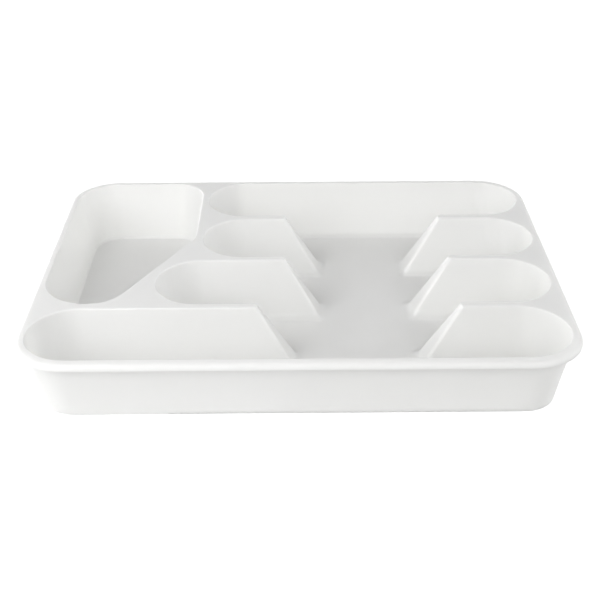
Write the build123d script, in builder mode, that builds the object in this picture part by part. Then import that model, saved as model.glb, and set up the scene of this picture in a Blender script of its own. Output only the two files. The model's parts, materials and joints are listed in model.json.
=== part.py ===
from math import cos, isclose, radians, sin, tan
import os

from build123d import *

# Cutlery tray, one thin-walled moulding that stands in a drawer, +Y to the back
# Millimetres and degrees, origin on the ground under the middle of the tray

# Overall size over the lip
tray_length = 400.0
tray_depth = 300.0
tray_height = 52.0
corner_radius = 40.0

# Skin of the deck, walls, floors and lip, and the lean that lets the tray leave its mould
wall = 2.0
draft = 10.0

# Rim, which rolls over into an edge turned down outside the skirt
rim_width = 7.5
lip_height = 5.2
lip_top_radius = 4.5
lip_foot_chamfer = 0.5
lip_groove_chamfer = 1.4

# Bevels round the floor of every pocket, and below wherever the skin meets the ground
floor_chamfer = 1.5
foot_chamfer = 1.0

# Rows for cutlery, from the back to the front, with hollow dividers between them
# The third row reaches further left than the two behind it
row_count = 4
divider_width = 6.0
third_row_reach = 31.0

# Box pocket at the back left, with its front right corner cut off on the slant
box_length = 109.0
box_depth = 210.5
box_side_length = 106.0
box_front_length = 53.5
box_right_radius = 26.0
box_slant_radius = 27.0
box_left_radius = 36.0

# Finger gap, where the dividers are cut away down to the floor
gap_lean = 30.0
gap_right_end = 119.5
gap_left_end = -10.0
front_gap_left_end = -30.0
gap_foot_radius = 6.0

# Rounding of the cut divider ends, and the bevel round every opening of the deck
divider_end_radius = 2.5
deck_edge_chamfer = 0.5

# One length by which every cut runs past the surface that it opens
overrun = 5.0

# Share by which two measures may differ and still count as the same
match_share = 0.001

# Places worked out from the sizes above
opening_right = tray_length / 2 - rim_width
opening_back = tray_depth / 2 - rim_width
row_width = (2 * opening_back - (row_count - 1) * divider_width) / row_count
row_pitch = row_width + divider_width
box_right = -opening_right + box_length
short_row_left = box_right + divider_width
row_lefts = [short_row_left, short_row_left, short_row_left - third_row_reach, -opening_right]
gap_lefts = [gap_left_end, gap_left_end, front_gap_left_end]


def sideways(skin, lean):
    """Level shift of a leaning surface that moves out by the skin."""
    return skin / cos(radians(lean))


def row_middle(number):
    """Place of a row's centre line, in front of or behind the middle of the tray."""
    return opening_back - row_width / 2 - number * row_pitch


def row_space(number, skin):
    """Room in one row, grown by a skin: round ends and leaning walls."""
    left = row_lefts[number]
    spread = sideways(skin, draft)
    with BuildPart() as space:
        with BuildSketch(Plane.XY.offset(tray_height)):
            with Locations(((left + opening_right) / 2, row_middle(number))):
                SlotOverall(opening_right - left + 2 * spread, row_width + 2 * spread)
        extrude(amount=-(tray_height - wall + skin), taper=draft)
    return space.part


def box_space(skin):
    """Room in the box pocket, grown by a skin: four straight sides and one on the slant."""
    left = -opening_right
    front = opening_back - box_depth
    corners = [
        (left, opening_back),
        (box_right, opening_back),
        (box_right, opening_back - box_side_length),
        (left + box_front_length, front),
        (left, front),
    ]
    radii = [
        corner_radius - rim_width,
        box_right_radius,
        box_slant_radius,
        box_slant_radius,
        box_left_radius,
    ]
    with BuildPart() as space:
        with BuildSketch(Plane.XY.offset(tray_height)):
            with BuildLine():
                FilletPolyline(*corners, radius=radii, close=True)
            make_face()
            if skin > 0:
                offset(amount=sideways(skin, draft))
        extrude(amount=-(tray_height - wall + skin), taper=draft)
    return space.part


def gap_space(number, skin):
    """Room over one divider in the finger gap, grown by a skin: a trough with leaning ends."""
    foot = wall - skin
    spread = sideways(skin, gap_lean)
    left = gap_lefts[number] - spread
    right = gap_right_end + spread
    run = (tray_height - foot) * tan(radians(gap_lean))
    rise = overrun * tan(radians(gap_lean))
    middle = row_middle(number) - row_pitch / 2
    with BuildPart() as space:
        with BuildSketch(Plane.XZ.offset(-middle)):
            with BuildLine():
                Polyline(
                    (left - rise, tray_height + overrun),
                    (left + run, foot),
                    (right - run, foot),
                    (right + rise, tray_height + overrun),
                    close=True,
                )
            make_face()
        extrude(amount=row_pitch / 2, both=True)
        fillet(space.edges().filter_by(Axis.Y).group_by(Axis.Z)[0], radius=gap_foot_radius + skin)
    return space.part


def pocket_spaces(skin, edge_chamfer):
    """Room in all five pockets, grown by a skin, with the edges of their floors bevelled."""
    with BuildPart() as spaces:
        for number in range(row_count):
            add(row_space(number, skin))
        add(box_space(skin))
        chamfer(spaces.edges().group_by(Axis.Z)[0], length=edge_chamfer)
    return spaces.part


def rounded_block(inset, bottom, top, lean):
    """Block inside the tray's plan, drawn at its top and leaning in towards its bottom."""
    with BuildPart() as block:
        with BuildSketch(Plane.XY.offset(top)):
            RectangleRounded(tray_length - 2 * inset, tray_depth - 2 * inset, corner_radius - inset)
        extrude(amount=-(top - bottom), taper=lean)
    return block.part


def skirt_block(skin):
    """Block inside the skirt's outer face, or inside its inner face when a skin is given."""
    inset = rim_width - sideways(wall, draft) + sideways(skin, draft) + skin * tan(radians(draft))
    return rounded_block(inset, 0, tray_height - skin, draft)


def cut_faces(part):
    """Faces that the finger gap leaves on the dividers: their leaning ends and the feet of these."""
    end_rise = sin(radians(gap_lean))
    ends = part.faces().filter_by(GeomType.PLANE).filter_by(
        lambda face: isclose(face.normal_at().Z, end_rise, rel_tol=match_share)
    )
    feet = part.faces().filter_by(GeomType.CYLINDER).filter_by(
        lambda face: isclose(face.radius, gap_foot_radius, rel_tol=match_share)
    )
    return ends + feet


# Hollow under the deck and inside the dividers, open at the bottom
with BuildPart() as under_hollow:
    add(skirt_block(wall))
    add(pocket_spaces(wall, foot_chamfer), mode=Mode.SUBTRACT)
    for number in range(row_count - 1):
        add(gap_space(number, wall), mode=Mode.SUBTRACT)

# Groove behind the turned-down edge, bevelled to keep the skin even round the roll of the rim
with BuildPart() as lip_groove:
    add(rounded_block(wall, tray_height - lip_height, tray_height - wall, 0))
    chamfer(lip_groove.edges().group_by(Axis.Z)[-1], length=lip_groove_chamfer)
    add(skirt_block(0), mode=Mode.SUBTRACT)

# Skirt, down to a bevelled foot
with BuildPart() as skirt:
    add(skirt_block(0))
    chamfer(skirt.edges().group_by(Axis.Z)[0], length=foot_chamfer)

# The tray, from its rim and skirt, less every space
with BuildPart() as cutlery_tray:
    add(rounded_block(0, tray_height - lip_height, tray_height, 0))
    fillet(cutlery_tray.edges().group_by(Axis.Z)[-1], radius=lip_top_radius)
    chamfer(cutlery_tray.edges().group_by(Axis.Z)[0], length=lip_foot_chamfer)
    add(skirt.part)
    add(lip_groove.part, mode=Mode.SUBTRACT)
    add(under_hollow.part, mode=Mode.SUBTRACT)
    add(pocket_spaces(0, floor_chamfer), mode=Mode.SUBTRACT)
    for number in range(row_count - 1):
        add(gap_space(number, 0), mode=Mode.SUBTRACT)
    cut_edges = [edge for face in cut_faces(cutlery_tray) for edge in face.edges()]
    cut_sides = ShapeList(cut_edges).filter_by(Axis.Y, reverse=True)
    fillet(cut_sides, radius=divider_end_radius)
    deck = cutlery_tray.faces().filter_by(Axis.Z).group_by(Axis.Z)[-1].sort_by(SortBy.AREA)[-1]
    chamfer([edge for wire in deck.inner_wires() for edge in wire.edges()], length=deck_edge_chamfer)

cutlery_tray.part.label = "cutlery_tray"

os.makedirs("parts", exist_ok=True)
export_step(cutlery_tray.part, "parts/cutlery_tray.step")
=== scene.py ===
import json
from math import cos, radians, sin

import bmesh
import bpy
from bpy.props import FloatProperty, FloatVectorProperty, PointerProperty
from mathutils import Matrix, Vector

bl_info = {
    "name": "Cutlery tray looks",
    "version": (1, 0, 0),
    "blender": (4, 5, 0),
    "location": "View3D > Sidebar > Cutlery tray",
    "description": "Gives the moulded cutlery tray its white plastic and puts it in a bright studio",
    "category": "Object",
}

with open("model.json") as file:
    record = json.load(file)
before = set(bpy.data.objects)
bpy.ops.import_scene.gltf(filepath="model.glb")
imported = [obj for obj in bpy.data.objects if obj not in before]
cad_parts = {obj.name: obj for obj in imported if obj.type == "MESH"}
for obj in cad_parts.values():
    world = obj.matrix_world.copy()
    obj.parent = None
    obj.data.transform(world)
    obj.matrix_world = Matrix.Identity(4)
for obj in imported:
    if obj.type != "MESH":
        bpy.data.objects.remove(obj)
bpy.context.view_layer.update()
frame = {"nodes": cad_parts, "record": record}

TRAY = "cutlery_tray"


class TrayPlasticSettings(bpy.types.PropertyGroup):
    """Finish of the moulded plastic"""

    colour: FloatVectorProperty(
        name="Colour",
        description="Colour of the plastic in plain light",
        subtype="COLOR",
        size=3,
        min=0.0,
        max=1.0,
        default=(0.92, 0.92, 0.91),
    )
    flow_colour: FloatVectorProperty(
        name="Flow colour",
        description="Colour of the plastic where it met while it filled the mould",
        subtype="COLOR",
        size=3,
        min=0.0,
        max=1.0,
        default=(0.9, 0.9, 0.885),
    )
    roughness: FloatProperty(
        name="Roughness",
        description="How much the moulded skin blurs a reflection",
        min=0.0,
        max=1.0,
        default=0.36,
    )
    translucency: FloatProperty(
        name="Translucency",
        description="How far light travels inside the plastic, which lets it glow through a thin wall",
        subtype="DISTANCE",
        unit="LENGTH",
        min=0.0,
        default=0.002,
    )
    edge_round: FloatProperty(
        name="Edge rounding",
        description="Width of the soft edge that the mould leaves on every corner",
        subtype="DISTANCE",
        unit="LENGTH",
        min=0.0,
        default=0.0004,
    )
    foot_round: FloatProperty(
        name="Foot rounding",
        description="How softly the walls of the rows run into their floors",
        subtype="DISTANCE",
        unit="LENGTH",
        min=0.0,
        default=0.008,
    )


class StudioSettings(bpy.types.PropertyGroup):
    """Light, floor and camera round the tray"""

    fill: FloatProperty(
        name="Fill",
        description="Light of the white room round the tray, next to the lamps",
        min=0.0,
        default=0.06,
    )
    level: FloatProperty(
        name="Lamp level",
        description="Factor on the power of every lamp",
        min=0.0,
        default=1.0,
    )
    floor_glow: FloatProperty(
        name="Floor glow",
        description="White that the floor shows by itself, on top of the light that falls on it",
        min=0.0,
        max=1.0,
        default=0.75,
    )


def new_tree(owner):
    """The owner's empty node tree."""
    owner.use_nodes = True
    owner.node_tree.nodes.clear()
    return owner.node_tree


def combine(tree, operation, first, second):
    """One number made of two others."""
    node = tree.nodes.new("ShaderNodeMath")
    node.operation = operation
    tree.links.new(first, node.inputs[0])
    tree.links.new(second, node.inputs[1])
    return node.outputs["Value"]


def ramp(tree, value, start, end, low, high):
    """A number that goes from low to high while the value goes from start to end, and no further."""
    node = tree.nodes.new("ShaderNodeMapRange")
    node.inputs["From Min"].default_value = start
    node.inputs["From Max"].default_value = end
    node.inputs["To Min"].default_value = low
    node.inputs["To Max"].default_value = high
    tree.links.new(value, node.inputs["Value"])
    return node.outputs["Result"]


def show(tree, shader):
    """Makes the shader what the material or the world shows."""
    kind = "ShaderNodeOutputWorld" if shader.node.type == "BACKGROUND" else "ShaderNodeOutputMaterial"
    tree.links.new(shader, tree.nodes.new(kind).inputs["Surface"])


def seen_directly(tree):
    """One for a ray from the eye, a reflection or a see-through surface, else nought."""
    path = tree.nodes.new("ShaderNodeLightPath").outputs
    mirrored = combine(tree, "MAXIMUM", path["Is Camera Ray"], path["Is Glossy Ray"])
    return combine(tree, "MAXIMUM", mirrored, path["Is Transmission Ray"])


def noise(tree, place, scale, detail):
    """Even noise with a number of waves to the metre."""
    node = tree.nodes.new("ShaderNodeTexNoise")
    node.inputs["Scale"].default_value = scale
    node.inputs["Detail"].default_value = detail
    tree.links.new(place, node.inputs["Vector"])
    return node.outputs["Fac"]


def spread(tree, value, low, high):
    """The noise's middle half, stretched from a low to a high value."""
    return ramp(tree, value, noise_low, noise_high, low, high)


def bump(tree, height, distance, normal):
    """A surface normal turned by one more layer of relief."""
    node = tree.nodes.new("ShaderNodeBump")
    node.inputs["Distance"].default_value = distance
    tree.links.new(height, node.inputs["Height"])
    tree.links.new(normal, node.inputs["Normal"])
    return node.outputs["Normal"]


# Between these two lies the middle half of every noise
noise_low = 0.25
noise_high = 0.75

# Waves to the metre, layers of finer waves, and relief in metres of each mark on the moulded skin
flow_scale = 9.0
flow_detail = 3.0
sink_scale = 28.0
sink_detail = 1.0
sink_relief = 0.00012
grain_scale = 1500.0
grain_detail = 2.0
grain_relief = 0.000004

# Rubbing by the cutlery: its waves are long along the rows, and it changes the roughness both ways
rub_scale = 60.0
rub_detail = 6.0
rub_stretch = (0.12, 1.0, 1.0)
rub_roughness = 0.035

# The rows' walls are shaded softly into their floors: fully up to the first height in metres, not
# at all above the second, and not in the box pocket
foot_full = 0.008
foot_end = 0.012
foot_samples = 16
openings = {opening["name"]: opening["box_m"] for opening in frame["record"]["physics"]["openings"]}
box_pocket_right = openings["box_pocket_wide"][1][0]

# Light spreads alike in red, green and blue inside the white plastic
even_spread = (1.0, 1.0, 1.0)


def soft_foot(tree, place, radius):
    """The skin's normal, which turns softly from wall to floor low down in the rows."""
    nodes = tree.nodes
    links = tree.links
    axes = nodes.new("ShaderNodeSeparateXYZ")
    links.new(place, axes.inputs["Vector"])
    low = ramp(tree, axes.outputs["Z"], foot_end, foot_full, 0.0, 1.0)
    beside = nodes.new("ShaderNodeMath")
    beside.operation = "GREATER_THAN"
    beside.inputs[1].default_value = box_pocket_right
    links.new(axes.outputs["X"], beside.inputs[0])
    share = combine(tree, "MULTIPLY", low, beside.outputs["Value"])
    rounded = nodes.new("ShaderNodeBevel")
    rounded.samples = foot_samples
    rounded.inputs["Radius"].default_value = radius
    plain = nodes.new("ShaderNodeNewGeometry")
    normal = nodes.new("ShaderNodeMix")
    normal.data_type = "VECTOR"
    links.new(share, normal.inputs["Factor"])
    links.new(plain.outputs["Normal"], normal.inputs["A"])
    links.new(rounded.outputs["Normal"], normal.inputs["B"])
    return normal.outputs["Result"]


def plastic_material(settings):
    """White moulded plastic: flow marks, slight sinks, a fine grain and faint rubbing along the rows."""
    material = bpy.data.materials.new("moulded_plastic")
    tree = new_tree(material)
    nodes = tree.nodes
    links = tree.links
    place = nodes.new("ShaderNodeTexCoord").outputs["Object"]

    colour = nodes.new("ShaderNodeMix")
    colour.data_type = "RGBA"
    colour.inputs["A"].default_value = (*settings.colour, 1.0)
    colour.inputs["B"].default_value = (*settings.flow_colour, 1.0)
    flow = noise(tree, place, flow_scale, flow_detail)
    links.new(spread(tree, flow, 0.0, 1.0), colour.inputs["Factor"])

    along = nodes.new("ShaderNodeMapping")
    along.inputs["Scale"].default_value = rub_stretch
    links.new(place, along.inputs["Vector"])
    rub = noise(tree, along.outputs["Vector"], rub_scale, rub_detail)
    roughness = spread(tree, rub, settings.roughness - rub_roughness, settings.roughness + rub_roughness)

    relief = soft_foot(tree, place, settings.foot_round)
    relief = bump(tree, noise(tree, place, sink_scale, sink_detail), sink_relief, relief)
    relief = bump(tree, noise(tree, place, grain_scale, grain_detail), grain_relief, relief)

    shader = nodes.new("ShaderNodeBsdfPrincipled")
    links.new(colour.outputs["Result"], shader.inputs["Base Color"])
    links.new(roughness, shader.inputs["Roughness"])
    links.new(relief, shader.inputs["Normal"])
    shader.inputs["Subsurface Weight"].default_value = 1.0
    shader.inputs["Subsurface Radius"].default_value = even_spread
    shader.inputs["Subsurface Scale"].default_value = settings.translucency
    show(tree, shader.outputs["BSDF"])
    return material


# How near two corners of the skin count as one, in metres, how far faces may bend and still count as
# flat, and from which bend on an edge is sharp and gets rounded
skin_weld = 0.00002
skin_flat = radians(1.0)
edge_bend = radians(22.0)
edge_segments = 2


def soften_edges(tray, edge_round):
    """Joins the skin's faces, rounds what edges are left sharp and shades it all as one smooth skin."""
    weld = tray.modifiers.new("one_skin", "WELD")
    weld.merge_threshold = skin_weld
    flat = tray.modifiers.new("flat_faces", "DECIMATE")
    flat.decimate_type = "DISSOLVE"
    flat.angle_limit = skin_flat
    edges = tray.modifiers.new("soft_edges", "BEVEL")
    edges.width = edge_round
    edges.segments = edge_segments
    edges.limit_method = "ANGLE"
    edges.angle_limit = edge_bend
    tray.modifiers.new("smooth_skin", "WEIGHTED_NORMAL")


# Colour of the floor, and how far from the tray's middle its glow starts to rise and is plain white
floor_colour = (0.7, 0.7, 0.7, 1.0)
glow_near = 0.7
glow_far = 1.6

# Side of the floor, and how far it lies under the tray's foot so that their faces don't meet
floor_side = 6.0
floor_drop = 0.0002


def seen_glow(tree, glow):
    """The glow for rays that see the floor directly, which rises to plain white far from the tray."""
    away = tree.nodes.new("ShaderNodeVectorMath")
    away.operation = "LENGTH"
    tree.links.new(tree.nodes.new("ShaderNodeTexCoord").outputs["Object"], away.inputs[0])
    rise = ramp(tree, away.outputs["Value"], glow_near, glow_far, glow, 1.0)
    return combine(tree, "MULTIPLY", seen_directly(tree), rise)


def floor_material(glow):
    """White floor that takes the tray's shadow, lights it from below and is clear from underneath."""
    material = bpy.data.materials.new("studio_floor")
    tree = new_tree(material)
    nodes = tree.nodes
    links = tree.links
    diffuse = nodes.new("ShaderNodeBsdfDiffuse")
    diffuse.inputs["Color"].default_value = floor_colour
    white = nodes.new("ShaderNodeEmission")
    links.new(seen_glow(tree, glow), white.inputs["Strength"])
    both = nodes.new("ShaderNodeAddShader")
    links.new(diffuse.outputs["BSDF"], both.inputs[0])
    links.new(white.outputs["Emission"], both.inputs[1])
    clear = nodes.new("ShaderNodeBsdfTransparent")
    side = nodes.new("ShaderNodeNewGeometry")
    either = nodes.new("ShaderNodeMixShader")
    links.new(side.outputs["Backfacing"], either.inputs["Fac"])
    links.new(both.outputs["Shader"], either.inputs[1])
    links.new(clear.outputs["BSDF"], either.inputs[2])
    show(tree, either.outputs["Shader"])
    return material


def add_surround(scene, fill):
    """White room: plain white where it is seen or reflected, and a soft fill of light elsewhere."""
    world = bpy.data.worlds.new("white_surround")
    tree = new_tree(world)
    strength = tree.nodes.new("ShaderNodeMix")
    strength.inputs["A"].default_value = fill
    strength.inputs["B"].default_value = 1.0
    tree.links.new(seen_directly(tree), strength.inputs["Factor"])
    background = tree.nodes.new("ShaderNodeBackground")
    tree.links.new(strength.outputs["Result"], background.inputs["Strength"])
    background.inputs["Color"].default_value = (1.0, 1.0, 1.0, 1.0)
    show(tree, background.outputs["Background"])
    scene.world = world


# Where the photograph was taken from: the point that the camera aims at and its distance from it in
# metres, its rise over the floor, its turn from the front, its roll, and its lens
camera_aim = Vector((0.00164, -0.01962, 0.025))
camera_distance = 0.83154
camera_rise = radians(30.69)
camera_turn = radians(-0.16)
camera_roll = radians(-0.33)
camera_lens_mm = 63.16
camera_sensor_mm = 36.0

# Distance and side length in metres of the lamps that stand back, and of the one that stands near
standing_back = (2.1, 1.2)
standing_near = (0.8, 0.5)

# Lamps: turn from the front and rise in degrees, how far they stand, and power in watts
lamps = {
    "back_left": (-135.0, 12.0, standing_back, 19.3),
    "left": (-90.0, 12.0, standing_back, 3.5),
    "front_left_low": (-45.0, 12.0, standing_back, 11.8),
    "front_left": (-45.0, 35.0, standing_back, 10.7),
    "front_left_near": (-45.0, 50.0, standing_near, 1.4),
    "front": (0.0, 35.0, standing_back, 4.1),
    "front_right": (45.0, 35.0, standing_back, 7.8),
    "right": (90.0, 12.0, standing_back, 15.3),
    "back_right": (135.0, 35.0, standing_back, 7.4),
}


def around(turn, rise):
    """Direction with a turn to the right of the front and a rise over the floor."""
    return Vector((sin(turn) * cos(rise), -cos(turn) * cos(rise), sin(rise)))


def add_lamp(name, turn, rise, standing, power):
    """A soft square lamp that looks at the tray."""
    distance, side = standing
    light = bpy.data.lights.new(name, "AREA")
    light.shape = "SQUARE"
    light.size = side
    light.energy = power
    lamp = bpy.data.objects.new(name, light)
    place = distance * around(radians(turn), radians(rise))
    lamp.location = place
    lamp.rotation_mode = "QUATERNION"
    lamp.rotation_quaternion = (-place).to_track_quat("-Z", "Y")
    bpy.context.scene.collection.objects.link(lamp)


def add_camera():
    """The camera, at the photograph's angle."""
    data = bpy.data.cameras.new("camera")
    data.lens = camera_lens_mm
    data.sensor_width = camera_sensor_mm
    camera = bpy.data.objects.new("camera", data)
    bpy.context.scene.collection.objects.link(camera)
    back = around(camera_turn, camera_rise)
    right = (-back).cross(Vector((0, 0, 1))).normalized()
    up = right.cross(-back)
    right, up = (
        cos(camera_roll) * right + sin(camera_roll) * up,
        -sin(camera_roll) * right + cos(camera_roll) * up,
    )
    turn = Matrix((right, up, back)).transposed().to_4x4()
    camera.matrix_world = Matrix.Translation(camera_aim + camera_distance * back) @ turn
    bpy.context.scene.camera = camera


def add_floor(glow):
    """A large plain floor under the tray."""
    mesh = bpy.data.meshes.new("studio_floor")
    shape = bmesh.new()
    bmesh.ops.create_grid(shape, x_segments=1, y_segments=1, size=floor_side / 2)
    bmesh.ops.translate(shape, verts=shape.verts, vec=(0, 0, -floor_drop))
    shape.to_mesh(mesh)
    shape.free()
    floor = bpy.data.objects.new("studio_floor", mesh)
    bpy.context.scene.collection.objects.link(floor)
    mesh.materials.append(floor_material(glow))


class TRAY_OT_plastic(bpy.types.Operator):
    """Give the moulded tray its white plastic and its soft edges"""

    bl_idname = "tray.plastic"
    bl_label = "White plastic"

    def execute(self, context):
        settings = context.scene.tray_plastic
        tray = frame["nodes"][TRAY]
        tray.data.materials.clear()
        tray.data.materials.append(plastic_material(settings))
        soften_edges(tray, settings.edge_round)
        return {"FINISHED"}


class TRAY_OT_studio(bpy.types.Operator):
    """Put the white room, floor, lamps and camera round the tray"""

    bl_idname = "tray.studio"
    bl_label = "Studio"

    def execute(self, context):
        scene = context.scene
        settings = scene.tray_studio
        scene.view_settings.view_transform = "Standard"
        add_surround(scene, settings.fill)
        add_floor(settings.floor_glow)
        for name, (turn, rise, standing, power) in lamps.items():
            add_lamp(name, turn, rise, standing, settings.level * power)
        add_camera()
        return {"FINISHED"}


class TRAY_PT_looks(bpy.types.Panel):
    """Lists the looks of the cutlery tray"""

    bl_idname = "TRAY_PT_looks"
    bl_label = "Cutlery tray"
    bl_space_type = "VIEW_3D"
    bl_region_type = "UI"
    bl_category = "Cutlery tray"

    def draw(self, context):
        layout = self.layout
        plastic = context.scene.tray_plastic
        studio = context.scene.tray_studio
        for name in ("colour", "flow_colour", "roughness", "translucency", "edge_round", "foot_round"):
            layout.prop(plastic, name)
        layout.operator(TRAY_OT_plastic.bl_idname)
        for name in ("fill", "level", "floor_glow"):
            layout.prop(studio, name)
        layout.operator(TRAY_OT_studio.bl_idname)


classes = (TrayPlasticSettings, StudioSettings, TRAY_OT_plastic, TRAY_OT_studio, TRAY_PT_looks)


def register():
    for item in classes:
        bpy.utils.register_class(item)
    bpy.types.Scene.tray_plastic = PointerProperty(type=TrayPlasticSettings)
    bpy.types.Scene.tray_studio = PointerProperty(type=StudioSettings)


def unregister():
    del bpy.types.Scene.tray_studio
    del bpy.types.Scene.tray_plastic
    for item in reversed(classes):
        bpy.utils.unregister_class(item)


def main():
    register()
    bpy.ops.tray.plastic()
    bpy.ops.tray.studio()


if __name__ == "__main__":
    main()
